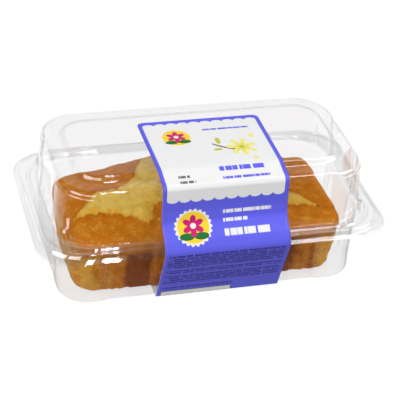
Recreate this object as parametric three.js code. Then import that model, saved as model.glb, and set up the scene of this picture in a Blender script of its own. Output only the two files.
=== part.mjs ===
import * as THREE from "three";

// A pound cake loaf in its clear hinged pack, held shut by a paper band.
// X runs along the loaf, Y from the front to the hinge at the back, Z up, in millimetres.
// The origin is the middle of the ground below the pack.

// The clear pack
const SHEET = 0.6;
const FIT_GAP = 0.3;
const RIM_HALF_LENGTH = 107;
const RIM_HALF_DEPTH = 59.8;
const WALL_HALF_LENGTH = 94.4;
const WALL_HALF_DEPTH = 47.9;
const WALL_FOOT_Z = 43.1;
const LEDGE_Z = 76.5;
const PLATEAU_Z = 79.7;
const PANEL_LIFT = 1;
const WALL_FOOT = { a: WALL_HALF_LENGTH, b: WALL_HALF_DEPTH, r: 23, z: WALL_FOOT_Z };

// Each long side has two upright grooves and each end two, which set off the corner lobes
const SIDE_GROOVE_X = 65;
const END_GROOVE_Y = 19;
const GROOVE_HALF_WIDTH = 2.4;
const GROOVE_DEPTH = 1.6;
const GROOVE_MARGIN = 1;

// A small lug on each corner of the lid keeps stacked packs apart
const LUG_STAND = 2.6;
const LUG_TOP_Z = 51;
const LUG_FACE_DEGREES = [34, 42];
const CORNER_DEGREES = [0, 16, 31, 34, 42, 45, 60, 75, 90];

// Pull tab on the lid's front right corner, and the hinge fold along the back
const TAB_DEGREES = 42;
const TAB_STAND = 2.8;
const HINGE_STAND = 0.7;
const HINGE_RISE = 1.4;
const EDGE_TURN = 0.3;
const CORNER_EASE = 0.3;

// The paper band
const BAND_THICKNESS = 0.4;
const BAND_LEFT_X = -35;
const BAND_WIDTH = 76;

// The cake
const CAKE_FLOOR_Z = 2;
const CAKE_SHOULDER_Z = 31;
const CAKE_BASE = { middle: 0.4, halfLength: 80.6, halfDepth: 37.8, corner: 12 };
const CAKE_WAIST = { middle: 0.6, halfLength: 84.6, halfDepth: 41, corner: 15 };
const CAKE_LEFT_ROUNDING = 22;
const CAKE_RIGHT_ROUNDING = 13;
const CAKE_CORNER_ROUNDING = 16;
const CAKE_STATIONS = 84;
const FLARE_POWER = 0.8;

// Rings of the cake's skin: shares of the waist outline over the top, heights down the side,
// and shares of the base outline below
const CAKE_TOP_SCALES = [0.08, 0.17, 0.26, 0.35, 0.44, 0.53, 0.62, 0.7, 0.78, 0.85, 0.91, 0.95, 0.98, 0.995];
const CAKE_SIDE_HEIGHTS = [CAKE_SHOULDER_Z, 24, 16, 9, 3.4];
const CAKE_FLOOR_SCALES = [0.985, 0.6];

// Height of the cake's ridge above its shoulder, along X
const RIDGE = [
  [-80, 13.5], [-66, 14.5], [-57, 16.5], [-47, 20], [-40, 23],
  [-29, 26.5], [0, 29], [30, 23], [50, 15],
];

// The burst along the top: the crust's front and rear lips, as X and Y, with the crumb swollen between them
const FRONT_LIP = [
  [-80, -16], [-66, -18], [-54, -24], [-40, -33],
  [-20, -31], [20, -27], [54, -23], [69, -25],
];
const REAR_LIP = [
  [-80, -16], [-72, -4], [-64, 4], [-50, -4], [-40, 2],
  [-30, 24], [0, 22], [30, 8], [56, -9], [69, -25],
];
const CRUMB_SWELL = 2.2;
const CRUMB_SLOPE = 7;
const LIP_HEIGHT = 1.2;
const LIP_WIDTH = 5;

// Straight-line reading of a list of pairs, held level beyond its ends
function alongPairs(pairs, x) {
  if (x <= pairs[0][0]) return pairs[0][1];
  for (let i = 1; i < pairs.length; i++) {
    const [x0, y0] = pairs[i - 1];
    const [x1, y1] = pairs[i];
    if (x <= x1) return y0 + ((y1 - y0) * (x - x0)) / (x1 - x0);
  }
  return pairs[pairs.length - 1][1];
}

// A closed skin through rings of points, with a single point at each end.
// The rings run anticlockwise seen from above, the first at the top and the last below.
function closedSkin(firstPole, rings, lastPole) {
  const count = rings[0].length;
  const points = [firstPole, ...rings.flat(), lastPole];
  const faces = [];
  const at = (ring, i) => 1 + ring * count + (i % count);
  for (let i = 0; i < count; i++) {
    faces.push(0, at(0, i), at(0, i + 1));
    for (let ring = 0; ring + 1 < rings.length; ring++) {
      faces.push(at(ring, i), at(ring + 1, i), at(ring + 1, i + 1));
      faces.push(at(ring, i), at(ring + 1, i + 1), at(ring, i + 1));
    }
    faces.push(points.length - 1, at(rings.length - 1, i + 1), at(rings.length - 1, i));
  }
  const geometry = new THREE.BufferGeometry();
  geometry.setAttribute("position", new THREE.Float32BufferAttribute(points.flat(), 3));
  geometry.setIndex(faces);
  geometry.computeVertexNormals();
  return geometry;
}

// One quarter of a rounded rectangle with its two grooves, from the middle of the right end
// to the middle of the back. lobe is 1 on the corner lobe and 0 on the panels between lobes.
function quarterOutline(row) {
  const { a, b, r, groove = 0, lug = 0 } = row;
  const reachY = END_GROOVE_Y + GROOVE_HALF_WIDTH + GROOVE_MARGIN;
  const reachX = SIDE_GROOVE_X + GROOVE_HALF_WIDTH + GROOVE_MARGIN;
  const squeezeY = Math.min(1, (b - r) / reachY);
  const squeezeX = Math.min(1, (a - r) / reachX);
  const stations = [{ x: a, y: 0, lobe: 0 }];
  for (const step of [-1, 0, 1]) {
    const y = (END_GROOVE_Y + step * GROOVE_HALF_WIDTH) * squeezeY;
    stations.push({ x: a - (step === 0 ? groove : 0), y, lobe: (step + 1) / 2 });
  }
  for (const degrees of CORNER_DEGREES) {
    const angle = THREE.MathUtils.degToRad(degrees);
    const radius = r + (LUG_FACE_DEGREES.includes(degrees) ? lug : 0);
    const x = a - r + radius * Math.cos(angle);
    const y = b - r + radius * Math.sin(angle);
    stations.push({ x, y, lobe: 1, degrees });
  }
  for (const step of [1, 0, -1]) {
    const x = (SIDE_GROOVE_X + step * GROOVE_HALF_WIDTH) * squeezeX;
    stations.push({ x, y: b - (step === 0 ? groove : 0), lobe: (step + 1) / 2 });
  }
  stations.push({ x: 0, y: b, lobe: 0 });
  return stations;
}

// The whole outline of one row, as a ring of points at the row's height.
// foot lowers the corner lobes, tab pushes out one front corner and hinge the middle of the back.
function ring(row) {
  const { z, foot = 0, tab = 0, hinge = 0, rise = 0 } = row;
  const quarter = quarterOutline(row);
  const forward = quarter.slice(0, -1);
  const backward = quarter.slice(1).reverse();
  const mirrored = [
    ...forward.map((p) => ({ ...p, sx: 1, sy: 1 })),
    ...backward.map((p) => ({ ...p, sx: -1, sy: 1 })),
    ...forward.map((p) => ({ ...p, sx: -1, sy: -1 })),
    ...backward.map((p) => ({ ...p, sx: 1, sy: -1 })),
  ];
  return mirrored.map((p) => {
    const onTab = p.degrees === TAB_DEGREES && p.sx > 0 && p.sy < 0;
    const onHinge = p.sy > 0 && p.lobe < 1 && p.y === row.b;
    const x = p.sx * (p.x + (onTab ? tab : 0));
    const y = p.sy * (p.y + (onHinge ? hinge : 0));
    return [x, y, z - foot * p.lobe + (onHinge ? rise : 0)];
  });
}

// The same rows moved square to themselves by a distance, to the underside of the sheet.
// The profile is read as mean half size against height.
function underside(rows, distance) {
  const flat = rows.map((row) => new THREE.Vector2((row.a + row.b) / 2, row.z));
  return rows.map((row, i) => {
    const before = i > 0 ? flat[i].clone().sub(flat[i - 1]).normalize() : null;
    const after = i + 1 < flat.length ? flat[i + 1].clone().sub(flat[i]).normalize() : null;
    const first = before ?? after;
    const second = after ?? before;
    const bisector = new THREE.Vector2(first.y + second.y, -first.x - second.x).normalize();
    const stretch = distance / Math.max(0.5, bisector.dot(new THREE.Vector2(first.y, -first.x)));
    const outward = bisector.x * stretch;
    const z = row.z + bisector.y * stretch;
    return { ...row, a: row.a + outward, b: row.b + outward, r: row.r + outward, z };
  });
}

// A thermoformed shell: its upper side given by rows from the middle to the rim,
// and its underside one sheet below
function shell(middleZ, rows) {
  const lower = underside([{ a: 0, b: 0, r: 0, z: middleZ }, ...rows], SHEET).slice(1);
  const rings = [...rows.map(ring), ...lower.reverse().map(ring)];
  return closedSkin([0, 0, middleZ], rings, [0, 0, middleZ - SHEET]);
}

// Rows of the rim, as the distance out from the foot of the lid's wall and the height
function rimRow(out, z, corner) {
  return { a: WALL_HALF_LENGTH + out, b: WALL_HALF_DEPTH + out, r: corner, z };
}

const RIM_ROWS = [
  rimRow(3.2, WALL_FOOT_Z, 24),
  rimRow(4.4, 42.2, 24),
  rimRow(5.4, 43.3, 24),
  rimRow(8.6, 43.3, 24),
  rimRow(9.8, 40.9, 24),
];

// Lid: a raised plateau, a ledge round it, walls with grooves and lugs, and a beaded rim
function makeLid() {
  const rows = [
    { a: 79.8, b: 31.9, r: 14.5, z: PLATEAU_Z },
    { a: 82, b: 34, r: 16, z: LEDGE_Z },
    { a: 90.4, b: 43.8, r: 20.5, z: LEDGE_Z },
    { a: 91.9, b: 45.2, r: 21.5, z: 75.3, groove: 0.8 },
    { a: 92.4, b: 45.6, r: 22, z: 72.5, groove: GROOVE_DEPTH },
    { a: 93.9, b: 47.3, r: 22.8, z: LUG_TOP_Z + 0.4, groove: GROOVE_DEPTH },
    { a: 93.95, b: 47.35, r: 22.8, z: LUG_TOP_Z, groove: GROOVE_DEPTH, lug: LUG_STAND },
    { ...WALL_FOOT, groove: GROOVE_DEPTH, lug: LUG_STAND },
    ...RIM_ROWS,
    { a: RIM_HALF_LENGTH, b: RIM_HALF_DEPTH - 0.8, r: 21, z: 40.3, tab: TAB_STAND },
  ];
  return shell(PLATEAU_Z, rows);
}

// Tray: a floor between four corner feet, walls with grooves, and a rim nested under the lid's
function makeTray() {
  const floor = PANEL_LIFT + SHEET;
  const rim = underside(RIM_ROWS, SHEET + FIT_GAP);
  rim[rim.length - 1].z -= CORNER_EASE;
  const shelfZ = WALL_FOOT_Z - SHEET - FIT_GAP;
  const rows = [
    { a: 78, b: 32, r: 9, z: floor },
    { a: 81, b: 35, r: 11, z: floor, foot: PANEL_LIFT },
    { a: 89.3, b: 43.6, r: 15.5, z: floor, foot: PANEL_LIFT },
    { a: 91, b: 45.3, r: 17, z: floor + 1.7, foot: PANEL_LIFT },
    { a: 91.4, b: 45.7, r: 19, z: floor + 7, groove: GROOVE_DEPTH },
    { a: 92.8, b: 46.8, r: 22, z: shelfZ - 4, groove: GROOVE_DEPTH },
    { a: 93.1, b: 47.1, r: 22.4, z: shelfZ },
    ...rim,
    { a: RIM_HALF_LENGTH - EDGE_TURN, b: RIM_HALF_DEPTH - EDGE_TURN, r: 13, z: 38.9 },
    { a: RIM_HALF_LENGTH, b: RIM_HALF_DEPTH, r: 13, z: 38.7, hinge: HINGE_STAND, rise: HINGE_RISE },
  ];
  return shell(floor, rows);
}

// The band's inner face seen from the left, as Y and Z, from its end on the plateau,
// over the front shoulder and out round the rim, then back to the tray's foot and under it
const BAND_PATH = [
  [20.8, 80],
  [-31.8, 80],
  [-38.6, 78.2],
  [-44.6, 77.2],
  [-46, 75.2],
  [-46.9, 61],
  [-48.6, 54.2],
  [-52, 50.4],
  [-56.6, 46.4],
  [-59.4, 42.4],
  [-60.1, 40.6],
  [-60.1, 37.8],
  [-53.2, 19.5],
  [-47, 1.4],
  [-46.2, 0.7],
  [25, 0.7],
];

// A strip of paper of even thickness: its path, and back along the same path one thickness outside it
function makeBand() {
  const path = BAND_PATH.map(([y, z]) => new THREE.Vector2(y, z));
  const outside = path.map((point, i) => {
    const from = Math.max(1, i);
    const to = Math.min(path.length - 1, i + 1);
    const first = path[from].clone().sub(path[from - 1]).normalize();
    const second = path[to].clone().sub(path[to - 1]).normalize();
    const bisector = new THREE.Vector2(first.y + second.y, -first.x - second.x).normalize();
    const stretch = BAND_THICKNESS / bisector.dot(new THREE.Vector2(first.y, -first.x));
    return point.clone().addScaledVector(bisector, stretch);
  });
  const outline = new THREE.Shape([...path, ...outside.reverse()]);
  const geometry = new THREE.ExtrudeGeometry(outline, { depth: BAND_WIDTH, bevelEnabled: false, steps: 1 });
  const alongX = new THREE.Matrix4().makeBasis(
    new THREE.Vector3(0, 1, 0),
    new THREE.Vector3(0, 0, 1),
    new THREE.Vector3(1, 0, 0),
  );
  return geometry.applyMatrix4(alongX);
}

// Depth of a point inside a rounded rectangle round the origin, in millimetres
function insideDepth(x, y, { halfLength, halfDepth, corner }) {
  const across = Math.abs(x) - (halfLength - corner);
  const along = Math.abs(y) - (halfDepth - corner);
  if (across > 0 && along > 0) return corner - Math.hypot(across, along);
  return corner - Math.max(across, along);
}

// A quarter-round rise from 0 at depth 0 to 1 at the full depth
function quarterRound(depth, full) {
  const t = THREE.MathUtils.clamp(depth / full, 0, 1);
  return Math.sqrt(1 - (1 - t) ** 2);
}

// Relief of the burst: the crumb swells between the lips, and the crust curls up a little outside them
function burstRelief(x, y) {
  const front = alongPairs(FRONT_LIP, x);
  const rear = alongPairs(REAR_LIP, x);
  const inside = Math.min(y - front, rear - y);
  if (inside > 0) return CRUMB_SWELL * quarterRound(inside, CRUMB_SLOPE);
  const open = THREE.MathUtils.smoothstep(rear - front, 0, LIP_WIDTH);
  return open * LIP_HEIGHT * (1 - THREE.MathUtils.smoothstep(-inside, 0, LIP_WIDTH));
}

// Height of the cake's top over a point, with x measured from the pack's middle
function cakeTop(x, y) {
  const { middle, halfLength, halfDepth } = CAKE_WAIST;
  const depth = insideDepth(x - middle, y, CAKE_WAIST);
  const fromEnd = halfLength - Math.abs(x - middle);
  const endRounding = x < middle ? CAKE_LEFT_ROUNDING : CAKE_RIGHT_ROUNDING;
  const dome = quarterRound(fromEnd, endRounding) * quarterRound(halfDepth - Math.abs(y), halfDepth);
  const rise = Math.min(dome, quarterRound(depth, CAKE_CORNER_ROUNDING));
  return CAKE_SHOULDER_Z + rise * (alongPairs(RIDGE, x) + burstRelief(x, y));
}

// Points spaced evenly round a rounded rectangle, anticlockwise from the middle of the right end
function evenOutline({ middle, halfLength, halfDepth, corner }) {
  const x = halfLength - corner;
  const y = halfDepth - corner;
  const quarter = Math.PI / 2;
  const outline = new THREE.Path();
  outline.moveTo(halfLength, 0);
  outline.lineTo(halfLength, y);
  outline.absarc(x, y, corner, 0, quarter);
  outline.absarc(-x, y, corner, quarter, 2 * quarter);
  outline.absarc(-x, -y, corner, 2 * quarter, 3 * quarter);
  outline.absarc(x, -y, corner, 3 * quarter, 4 * quarter);
  outline.lineTo(halfLength, 0);
  const points = outline.getSpacedPoints(CAKE_STATIONS).slice(0, CAKE_STATIONS);
  return points.map((point) => [middle + point.x, point.y]);
}

// The loaf: flared sides up to the shoulder, then a domed top shaped by cakeTop
function makeCake() {
  const waist = evenOutline(CAKE_WAIST);
  const base = evenOutline(CAKE_BASE);
  const blend = (i, t) => [
    base[i][0] + (waist[i][0] - base[i][0]) * t,
    base[i][1] + (waist[i][1] - base[i][1]) * t,
  ];
  const { middle } = CAKE_WAIST;
  const scaled = ([x, y], scale) => [middle + (x - middle) * scale, y * scale];
  const rings = CAKE_TOP_SCALES.map((scale) =>
    waist.map((point) => {
      const [x, y] = scaled(point, scale);
      return [x, y, cakeTop(x, y)];
    }),
  );
  for (const z of CAKE_SIDE_HEIGHTS) {
    const t = ((z - CAKE_FLOOR_Z) / (CAKE_SHOULDER_Z - CAKE_FLOOR_Z)) ** FLARE_POWER;
    rings.push(waist.map((_, i) => [...blend(i, t), z]));
  }
  for (const scale of CAKE_FLOOR_SCALES) {
    rings.push(base.map((point) => [...scaled(point, scale), CAKE_FLOOR_Z]));
  }
  return closedSkin([middle, 0, cakeTop(middle, 0)], rings, [middle, 0, CAKE_FLOOR_Z]);
}

function part(name, geometry, material, x = 0) {
  const mesh = new THREE.Mesh(geometry, new THREE.MeshStandardMaterial(material));
  mesh.name = name;
  mesh.position.x = x;
  return mesh;
}

const CLEAR_PLASTIC = { color: 0xf2f4f5, roughness: 0.08, metalness: 0, transparent: true, opacity: 0.25 };
const BAKED_CRUST = { color: 0xb4681c, roughness: 0.75, metalness: 0 };
const PRINTED_PAPER = { color: 0x5a5bd6, roughness: 0.45, metalness: 0 };

const pack = new THREE.Group();
pack.add(
  part("tray", makeTray(), CLEAR_PLASTIC),
  part("lid", makeLid(), CLEAR_PLASTIC),
  part("band", makeBand(), PRINTED_PAPER, BAND_LEFT_X),
  part("cake", makeCake(), BAKED_CRUST),
);

export default pack;
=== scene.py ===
"""Looks for a pound cake loaf in its clear hinged pack, held shut by a printed paper band.

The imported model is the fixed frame. The tray, the lid, the band and the cake are built here as
finer surfaces on the same driving sizes, and each replaces its plain solid. X runs along the
loaf, Y from the front to the hinge at the back, and Z up. Sizes are in millimetres, and a mesh
is scaled to metres as it is made.
"""

import itertools
import logging
import math
from collections.abc import Callable
from dataclasses import dataclass, field, replace
from enum import Enum
from functools import partialmethod

import bpy
import numpy as np
from mathutils import Matrix, Vector


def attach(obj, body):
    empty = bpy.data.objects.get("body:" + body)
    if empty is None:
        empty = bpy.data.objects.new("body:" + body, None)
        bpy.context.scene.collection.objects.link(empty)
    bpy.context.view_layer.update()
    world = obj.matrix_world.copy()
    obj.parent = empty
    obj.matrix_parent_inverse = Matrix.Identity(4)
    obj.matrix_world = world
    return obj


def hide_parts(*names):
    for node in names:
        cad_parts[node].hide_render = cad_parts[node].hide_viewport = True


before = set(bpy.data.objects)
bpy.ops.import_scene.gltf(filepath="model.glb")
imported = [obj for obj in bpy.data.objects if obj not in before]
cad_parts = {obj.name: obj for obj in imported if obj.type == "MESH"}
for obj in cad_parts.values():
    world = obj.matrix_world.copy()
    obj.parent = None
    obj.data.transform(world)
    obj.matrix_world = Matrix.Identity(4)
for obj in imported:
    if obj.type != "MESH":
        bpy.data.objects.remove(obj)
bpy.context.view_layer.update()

MM = 0.001
BODY = "root"
log = logging.getLogger("pound_cake_loaf")

Pair = tuple[float, float]
Place = tuple[float, float, float]
Colour = tuple[float, float, float]
Socket = bpy.types.NodeSocket


# Curves and fields worked out on whole arrays


def smoothstep(low: float, high: float, value: np.ndarray) -> np.ndarray:
    """A smooth rise from 0 at low to 1 at high: 3t^2 - 2t^3.

    Args:
        low: Value where the rise starts.
        high: Value where it ends.
        value: Where it is read.

    Returns:
        The rise at each value.
    """
    t = np.clip((value - low) / (high - low), 0, 1)
    return t * t * (3 - 2 * t)


def quarter_round(depth: np.ndarray, full: float) -> np.ndarray:
    """A quarter-circle rise from 0 at depth 0 to 1 at the full depth.

    Args:
        depth: Distance in from the edge.
        full: Distance over which the rise runs.

    Returns:
        The rise at each depth.
    """
    t = np.clip(depth / full, 0, 1)
    return np.sqrt(1 - (1 - t) ** 2)


def along_pairs(pairs: tuple[Pair, ...], x: np.ndarray, ease: float) -> np.ndarray:
    """Reads a list of pairs as a line through them, averaged over a short reach to round its corners.

    Args:
        pairs: The points as position and value.
        x: Where the line is read.
        ease: Half the reach of the averaging.

    Returns:
        The value at each x.
    """
    xs, values = np.array(pairs).T
    shifts = np.linspace(-ease, ease, 9)
    return np.mean([np.interp(x + shift, xs, values) for shift in shifts], axis=0)


@dataclass(frozen=True)
class Grain:
    """A smooth random field: how far it reaches, the spacing of its lattice, and its seed."""

    reach: float
    cell: Place
    seed: int
    lattice_size: int = 32

    def at(self, points: np.ndarray) -> np.ndarray:
        """Seeded numbers on a lattice, from -reach to reach, blended between its corners by smoothstep.

        Args:
            points: Positions, with X, Y and Z in the last axis.

        Returns:
            The field at each point.
        """
        size = self.lattice_size
        lattice = np.random.default_rng(self.seed).random((size, size, size))
        scaled = points / np.array(self.cell)
        base = np.floor(scaled).astype(int)
        part = scaled - base
        part = part * part * (3 - 2 * part)
        total = np.zeros(points.shape[:-1])
        for corner in itertools.product((0, 1), repeat=3):
            index = (base + corner) % size
            weight = np.prod(np.where(corner, part, 1 - part), axis=-1)
            total += weight * lattice[index[..., 0], index[..., 1], index[..., 2]]
        return self.reach * (2 * total - 1)


def grained(points: np.ndarray, grains: tuple[Grain, ...]) -> np.ndarray:
    """The sum of several random fields at each point."""
    return np.sum([grain.at(points) for grain in grains], axis=0)


def rounded_path(points: np.ndarray, cuts: np.ndarray, steps: int) -> np.ndarray:
    """Rounds the corners of a path: each is replaced by a quadratic curve between two cut points.

    Every column of a point is blended in the same way, so a point may carry more than its place.

    Args:
        points: One row for each corner, with its place in the first columns.
        cuts: Share of the shorter neighbouring stretch that each corner's curve takes, 0 for none.
        steps: Pieces of each curve.

    Returns:
        The rows of the rounded path.
    """
    t = np.linspace(0, 1, steps + 1)[:, None]
    parts = [points[:1]]
    for before, here, after, cut in zip(points[:-2], points[1:-1], points[2:], cuts[1:-1]):
        if cut == 0:
            parts.append(here[None])
            continue
        spans = [np.abs(other - here)[:2].max() for other in (before, after)]
        start, end = (
            here + (other - here) * cut * min(spans) / span for other, span in zip((before, after), spans)
        )
        parts.append((1 - t) ** 2 * start + 2 * t * (1 - t) * here + t ** 2 * end)
    parts.append(points[-1:])
    return np.vstack(parts)


# Meshes


def ring_faces(rings: int, count: int) -> np.ndarray:
    """Four-sided faces between closed rings of points that are numbered one ring after another.

    Args:
        rings: Number of rings.
        count: Points in a ring.

    Returns:
        One row of four point numbers for each face, facing out where the rings run anticlockwise
        seen from above and go down.
    """
    ring, i = np.meshgrid(np.arange(rings - 1), np.arange(count), indexing="ij")
    after = (i + 1) % count
    corners = (ring * count + i, (ring + 1) * count + i, (ring + 1) * count + after, ring * count + after)
    return np.stack(corners, axis=-1).reshape(-1, 4)


def cap_faces(first: int, count: int, pole: int, upward: bool) -> np.ndarray:
    """Triangles from a ring to one point.

    Args:
        first: Number of the ring's first point.
        count: Points in the ring.
        pole: Number of the single point.
        upward: Whether the cap faces up, for a ring that runs anticlockwise seen from above.

    Returns:
        One row of three point numbers for each face.
    """
    i = np.arange(count)
    here = first + i
    after = first + (i + 1) % count
    order = (np.full(count, pole), here, after) if upward else (np.full(count, pole), after, here)
    return np.stack(order, axis=-1)


def make_piece(
    name: str,
    points: np.ndarray,
    quads: np.ndarray,
    triangles: np.ndarray,
    attributes: dict[str, np.ndarray] | None = None,
) -> bpy.types.Object:
    """Makes a smooth-shaded object at the origin from points in millimetres.

    Args:
        name: Name of the piece.
        points: One row of X, Y and Z for each point.
        quads: Four-sided faces.
        triangles: Three-sided faces, which may be empty.
        attributes: Values for each point, by attribute name.

    Returns:
        The new object, linked to the scene.
    """
    mesh = bpy.data.meshes.new(name)
    mesh.vertices.add(len(points))
    mesh.vertices.foreach_set("co", (points * MM).astype(np.float32).ravel())
    loops = np.concatenate((quads.ravel(), triangles.ravel())).astype(np.int32)
    sizes = np.concatenate((np.full(len(quads), 4), np.full(len(triangles), 3)))
    starts = np.concatenate(([0], np.cumsum(sizes)[:-1])).astype(np.int32)
    mesh.loops.add(len(loops))
    mesh.loops.foreach_set("vertex_index", loops)
    mesh.polygons.add(len(sizes))
    mesh.polygons.foreach_set("loop_start", starts)
    mesh.update(calc_edges=True)
    mesh.validate()
    mesh.shade_smooth()
    for attribute, values in (attributes or {}).items():
        layer = mesh.attributes.new(attribute, "FLOAT", "POINT")
        layer.data.foreach_set("value", values.astype(np.float32).ravel())
    piece = bpy.data.objects.new(name, mesh)
    bpy.context.scene.collection.objects.link(piece)
    return piece


def point_normals(piece: bpy.types.Object) -> np.ndarray:
    """The unit normal at each point of a piece's mesh.

    Args:
        piece: An object with a mesh.

    Returns:
        One row for each point.
    """
    normals = np.zeros(len(piece.data.vertices) * 3, np.float32)
    piece.data.vertices.foreach_get("normal", normals)
    return normals.reshape(-1, 3).astype(float)


def settle(piece: bpy.types.Object, node: str, material: bpy.types.Material) -> None:
    """Dresses a finished piece, fixes it to the pack's one body, and puts it in its node's place.

    Args:
        piece: The finished piece.
        node: CAD node that the piece stands for.
        material: Its finish.
    """
    piece.data.materials.append(material)
    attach(piece, BODY)
    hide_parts(node)
    log.info("%s: %d points, %d faces", piece.name, len(piece.data.vertices), len(piece.data.polygons))


# A small bench for building node materials


class Bench:
    """One material's node tree, with short ways to add nodes and to do sums on fields."""

    def __init__(self, name: str) -> None:
        """Starts an empty node material.

        Args:
            name: Name of the material.
        """
        self.material = bpy.data.materials.new(name)
        self.material.use_nodes = True
        self.tree = self.material.node_tree
        self.tree.nodes.clear()

    def feed(self, target: Socket, value: object) -> None:
        """Links a field or a socket to an input, or sets a plain value on it.

        Args:
            target: The input.
            value: What goes into it.
        """
        source = value.socket if isinstance(value, Field) else value
        if isinstance(source, Socket):
            self.tree.links.new(source, target)
        else:
            target.default_value = source

    def add(
        self, kind: str, *values: object, named: dict[str, object] | None = None, **settings: object
    ) -> bpy.types.Node:
        """Adds a node and fills its inputs.

        Args:
            kind: Its type, without the start that all types share.
            values: What goes into its first inputs, in their order.
            named: What goes into inputs by their names.
            settings: Its properties.

        Returns:
            The node.
        """
        node = self.tree.nodes.new("ShaderNode" + kind)
        for key, value in settings.items():
            setattr(node, key, value)
        by_name = [(node.inputs[label], value) for label, value in (named or {}).items()]
        for target, value in (*zip(node.inputs, values), *by_name):
            self.feed(target, value)
        return node

    def object_axes(self) -> tuple["Field", "Field", "Field"]:
        """Object coordinates as three fields, in millimetres."""
        split = self.add("SeparateXYZ", self.add("TexCoord").outputs["Object"])
        return tuple(Field(self, out) * (1 / MM) for out in split.outputs)

    def attribute(self, name: str) -> "Field":
        """A point attribute of the piece as a field."""
        return Field(self, self.add("Attribute", attribute_name=name).outputs["Fac"])

    def vector(self, x: object, y: object, z: object) -> Socket:
        """Three fields or numbers as one vector."""
        return self.add("CombineXYZ", x, y, z).outputs[0]

    def place(self) -> Socket:
        """Object coordinates as one vector, in millimetres."""
        return self.vector(*self.object_axes())

    def grain(self, place: Socket, scale: float, detail: float = 2, rough: float = 0.5) -> "Field":
        """Noise from 0 to 1 at a place, with a scale in cells for each unit of the place."""
        named = {"Vector": place, "Scale": scale, "Detail": detail, "Roughness": rough}
        return Field(self, self.add("TexNoise", named=named).outputs["Fac"])

    def bump(self, height: object, strength: float, reach: float) -> Socket:
        """A normal tilted by a height field that reaches some millimetres."""
        named = {"Strength": strength, "Distance": reach * MM, "Height": height}
        return self.add("Bump", named=named).outputs["Normal"]

    def blend(self, share: object, first: object, second: object) -> Socket:
        """A colour that goes from one to another.

        Args:
            share: How far it has gone, from 0 to 1.
            first: The colour at 0.
            second: The colour at 1.

        Returns:
            The colour's socket.
        """
        node = self.add("Mix", share, data_type="RGBA")
        ends = [target for target in node.inputs if target.type == "RGBA"]
        for target, value in zip(ends, (first, second)):
            self.feed(target, (*value, 1.0) if isinstance(value, tuple) else value)
        return next(out for out in node.outputs if out.type == "RGBA")

    def surface(self, shader: bpy.types.Node) -> bpy.types.Material:
        """Ends the tree in a shader and returns the material."""
        self.add("OutputMaterial", shader.outputs[0])
        return self.material


@dataclass(frozen=True)
class Field:
    """One number that varies over a surface.

    Sums on fields add Math nodes, and so do the lowest and the highest of two, and the size
    without its sign.
    """

    bench: Bench
    socket: Socket

    def math(self, operation: str, *others: object) -> "Field":
        """This field and others through one Math node."""
        return Field(self.bench, self.bench.add("Math", self, *others, operation=operation).outputs[0])

    __add__ = partialmethod(math, "ADD")
    __sub__ = partialmethod(math, "SUBTRACT")
    __mul__ = partialmethod(math, "MULTIPLY")
    __pow__ = partialmethod(math, "POWER")
    lowest = partialmethod(math, "MINIMUM")
    highest = partialmethod(math, "MAXIMUM")
    size = partialmethod(math, "ABSOLUTE")

    def between(self, low: float, high: float, soft: float = 0.1) -> "Field":
        """1 from low to high and 0 outside, with soft edges."""
        return self.ramp(low - soft, low + soft) * self.ramp(high - soft, high + soft, 1, 0)

    def ramp(self, low: float, high: float, start: float = 0.0, end: float = 1.0) -> "Field":
        """A clamped smooth change.

        Args:
            low: Value of this field where the change begins.
            high: Value where it ends.
            start: Result at low.
            end: Result at high.

        Returns:
            The result as a field.
        """
        named = {"Value": self, "From Min": low, "From Max": high, "To Min": start, "To Max": end}
        node = self.bench.add("MapRange", named=named, interpolation_type="SMOOTHSTEP")
        return Field(self.bench, node.outputs["Result"])


# Finishes


@dataclass(frozen=True)
class ClearSheet:
    """Clear thermoformed plastic, too thin to bend what is seen through it, with a mirror gloss."""

    tint: Colour = (0.968, 0.969, 0.972)
    # Grey for edge-on views: partly the longer way through the sheet, partly painted shade for the dark
    # lines that refraction draws at bends.
    edge_absorption_and_painted_shade: Colour = (0.62, 0.61, 0.60)
    grey_from: float = 0.76
    least_mirrored: float = 0.04
    most_mirrored: float = 0.5
    roughness: float = 0.03
    ripple: float = 0.01
    ripple_scale: float = 0.06

    def material(self) -> bpy.types.Material:
        """Clearness that greys a little where the sheet is seen edge on, partly for the longer way
        through the sheet and partly as painted shade for the dark lines that refraction draws at bends,
        under a coat of gloss.

        The gloss follows Schlick's rule, a share plus the rest times (1 - cosine)^5, up to a limit,
        and lets light from the lamps fall through.

        Returns:
            The material.
        """
        bench = Bench("clear_plastic")
        waves = bench.grain(bench.place(), self.ripple_scale, 1)
        bumped = bench.bump(waves, self.ripple, 1.0)
        named = {"Color": (1, 1, 1, 1), "Roughness": self.roughness, "Normal": bumped}
        gloss = bench.add("BsdfGlossy", named=named)
        facing = Field(bench, bench.add("LayerWeight").outputs["Facing"])
        edge_on = facing.ramp(self.grey_from, 1.0)
        # Painted shade: the clear colour greys where the sheet is seen edge on, partly for the longer way
        # through it and partly standing in for refraction's dark lines at bends.
        clear = bench.add("BsdfTransparent", bench.blend(edge_on, self.tint, self.edge_absorption_and_painted_shade))
        mirrored = (facing ** 5) * (1 - self.least_mirrored) + self.least_mirrored
        path = bench.add("LightPath")
        shadow, matt = (Field(bench, path.outputs[ray]) for ray in ("Is Shadow Ray", "Is Diffuse Ray"))
        mirrored = mirrored.lowest(self.most_mirrored) * (shadow.highest(matt) * -1.0 + 1.0)
        return bench.surface(bench.add("MixShader", mirrored, clear.outputs[0], gloss.outputs[0]))


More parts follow.
